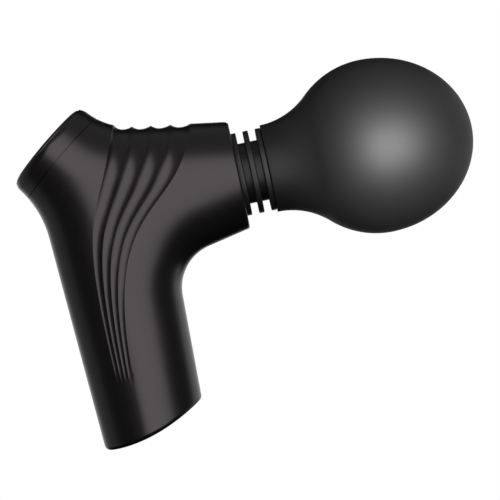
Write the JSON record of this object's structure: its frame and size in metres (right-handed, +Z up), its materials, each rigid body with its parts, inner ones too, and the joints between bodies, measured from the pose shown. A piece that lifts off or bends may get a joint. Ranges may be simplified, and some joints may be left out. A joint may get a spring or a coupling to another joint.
{
  "type": "massage gun",
  "caption": "Hand-held percussion massage gun: fluted Y-shaped housing with grip, slanted rear control cap, crank-driven piston and pull-off finned ball head.",
  "frame": {"origin": "middle of the grip, half way between its front and back edges and on the parting plane", "axes": "+X along the barrel towards the ball, +Y across the thickness to the left shell, +Z up along the grip"},
  "size_m": [0.1826, 0.07, 0.1352],
  "materials": {
    "housing": "satin black moulded plastic",
    "panel": "gloss black",
    "button": "satin dark grey",
    "light_pipe": "frosted clear",
    "circuit_board": "green solder mask",
    "chip": "moulded black",
    "standoff": "turned",
    "frame": "die cast",
    "steel": "ground",
    "fastener": "zinc plated",
    "lamination": "lacquered",
    "bell": "black",
    "winding": "enamelled copper",
    "weight": "sintered",
    "acetal": "natural white",
    "bronze": "sintered",
    "damper": "black",
    "stem": "satin black",
    "ball": "soft satin dark grey",
    "cell_wrap": "shrink wrap",
    "lead": "insulated"
  },
  "bodies": {
    "housing": {"right_shell": "housing", "left_shell": "housing", "housing_screws": "fastener", "rear_cap": "housing", "control_panel": "panel", "indicator_lights": "light_pipe", "control_board": "circuit_board", "tact_switch": "chip", "board_pillars": "standoff", "driver_board": "circuit_board", "driver_parts": "chip", "drive_frame": "frame", "frame_pads": "damper", "motor_base": "frame", "motor_screws": "fastener", "motor_bearings": "steel", "motor_stator": "lamination", "motor_windings": "winding", "guide_barrel": "frame", "guide_bush": "bronze", "wiper_seal": "damper", "barrel_damper": "damper", "barrel_screws": "fastener", "battery_cells": "cell_wrap", "battery_holder": "acetal", "battery_tabs": "steel", "battery_board": "circuit_board", "usb_board": "circuit_board", "usb_socket": "steel", "wiring": "lead"},
    "button": {"power_button": "button"},
    "crank": {"motor_bell": "bell", "motor_magnets": "lamination", "motor_shaft": "steel", "eccentric": "weight", "crank_pin": "steel", "crank_bearing": "steel"},
    "rod": {"connecting_rod": "acetal"},
    "piston": {"piston": "acetal", "wrist_pin": "steel"},
    "head": {"head_stem": "stem", "stem_o_rings": "damper", "massage_ball": "ball"}
  },
  "joints": [
    {"name": "crank_turn", "type": "hinge", "parent": "housing", "child": "crank", "pos_m": [0, 0, 0.05], "axis": [0, 0, 1], "range_deg": [0, 180]},
    {"name": "rod_swing", "type": "hinge", "parent": "crank", "child": "rod", "pos_m": [-0.0035, 0, 0.062], "axis": [0, 0, 1], "range_deg": [-180, 0]},
    {"name": "percussion", "type": "slide", "parent": "housing", "child": "piston", "axis": [1, 0, 0], "range_m": [0, 0.007]},
    {"name": "head_pull", "type": "slide", "parent": "piston", "child": "head", "axis": [1, 0, 0], "range_m": [0, 0.025]},
    {"name": "power_press", "type": "slide", "parent": "housing", "child": "button", "axis": [0.6101, 0, -0.7923], "range_m": [0, 0.0008], "stiffness_N_per_m": 1500}
  ],
  "couplings": [
    {"joint": "rod_swing", "follows": "crank_turn", "ratio": -1},
    {"joint": "percussion", "follows": "crank_turn", "m_per_rad": 0.002228}
  ]
}
